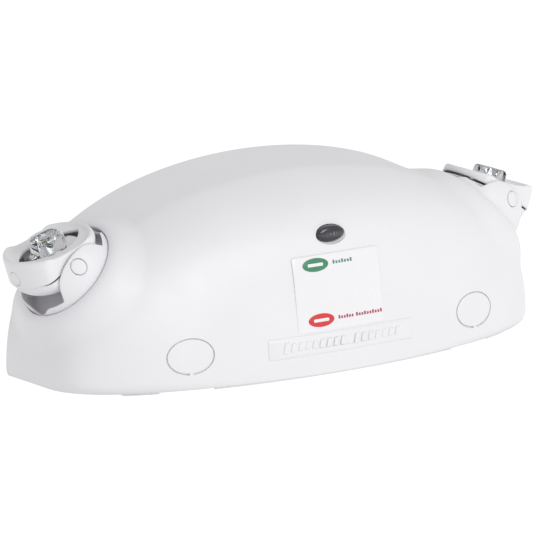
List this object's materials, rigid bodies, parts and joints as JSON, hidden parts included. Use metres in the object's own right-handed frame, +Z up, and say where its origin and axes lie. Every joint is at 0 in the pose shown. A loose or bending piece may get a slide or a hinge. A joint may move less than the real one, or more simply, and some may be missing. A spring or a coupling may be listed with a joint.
{
  "type": "wall emergency light unit",
  "caption": "Wall-mounted emergency light: arched white housing with battery and charger inside, swivelling, tilting lamp heads on its shoulders and a test button.",
  "frame": {"origin": "on the back plate's rear face, on the vertical centre line, 45 mm above the cover's bottom edge; the wall is the plane y = 0", "axes": "+Z up, -Y out of the wall towards the room, +X to the right as seen from the room"},
  "size_m": [0.3438, 0.0956, 0.1071],
  "materials": {
    "white_plastic": "moulded white thermoplastic, fine satin texture",
    "badge_plastic": "moulded white thermoplastic",
    "button_plastic": "dark smoked translucent plastic",
    "label_film": "printed satin film",
    "clear_plastic": "clear moulded acrylic",
    "black_plastic": "moulded black plastic",
    "grey_plastic": "moulded grey plastic",
    "green_board": "epoxy glass board with solder mask",
    "bright_metal": "bright aluminium",
    "steel": "zinc plated steel",
    "core_steel": "varnished steel laminations",
    "copper": "enamelled copper winding under tape",
    "brass": "plated brass tabs",
    "battery_plastic": "moulded ABS case"
  },
  "bodies": {
    "housing": {"front_cover": "white_plastic", "back_plate": "white_plastic", "status_label": "label_film", "badge_plate": "badge_plastic", "indicator_board": "green_board", "indicator_screw_left": "steel", "indicator_screw_right": "steel", "tact_switch": "black_plastic", "pilot_led": "clear_plastic", "main_board": "green_board", "transformer_core": "core_steel", "transformer_coil": "copper", "charger_relay": "black_plastic", "lead_connector": "grey_plastic", "capacitor_large": "black_plastic", "capacitor_small": "black_plastic", "fuse_tube": "clear_plastic", "battery_case": "battery_plastic", "battery_terminal_plus": "brass", "battery_terminal_minus": "brass", "battery_strap": "steel", "strap_screw_left": "steel", "strap_screw_right": "steel", "board_screw_1": "steel", "board_screw_2": "steel", "board_screw_3": "steel", "board_screw_4": "steel"},
    "button": {"test_button": "button_plastic", "switch_plunger": "black_plastic"},
    "lamp_base_right": {"swivel_base_right": "white_plastic", "spring_washer_right": "steel", "retaining_ring_right": "black_plastic", "pivot_pin_front_right": "white_plastic", "pivot_pin_rear_right": "white_plastic"},
    "lamp_head_right": {"lamp_bezel_right": "white_plastic", "bezel_plug_right": "white_plastic", "rear_shell_right": "white_plastic", "reflector_right": "bright_metal", "lamp_optic_right": "clear_plastic", "led_board_right": "green_board", "heat_sink_right": "bright_metal"},
    "lamp_base_left": {"swivel_base_left": "white_plastic", "spring_washer_left": "steel", "retaining_ring_left": "black_plastic", "pivot_pin_front_left": "white_plastic", "pivot_pin_rear_left": "white_plastic"},
    "lamp_head_left": {"lamp_bezel_left": "white_plastic", "bezel_plug_left": "white_plastic", "rear_shell_left": "white_plastic", "reflector_left": "bright_metal", "lamp_optic_left": "clear_plastic", "led_board_left": "green_board", "heat_sink_left": "bright_metal"}
  },
  "joints": [
    {"name": "lamp_swivel_right", "type": "hinge", "parent": "housing", "child": "lamp_base_right", "pos_m": [0.1367, -0.0294, 0.0158], "axis": [0.7431, 0, 0.6691], "range_deg": [-90, 90]},
    {"name": "lamp_tilt_right", "type": "hinge", "parent": "lamp_base_right", "child": "lamp_head_right", "pos_m": [0.14539, -0.0294, 0.02363], "axis": [0, 1, 0], "range_deg": [-10, 50]},
    {"name": "lamp_swivel_left", "type": "hinge", "parent": "housing", "child": "lamp_base_left", "pos_m": [-0.1367, -0.0294, 0.0158], "axis": [0.7431, 0, -0.6691], "range_deg": [-90, 90]},
    {"name": "lamp_tilt_left", "type": "hinge", "parent": "lamp_base_left", "child": "lamp_head_left", "pos_m": [-0.14539, -0.0294, 0.02363], "axis": [0, -1, 0], "range_deg": [-10, 50]},
    {"name": "test_button_press", "type": "slide", "parent": "housing", "child": "button", "axis": [0, 1, 0], "range_m": [0, 0.0012], "stiffness_N_per_m": 400}
  ]
}
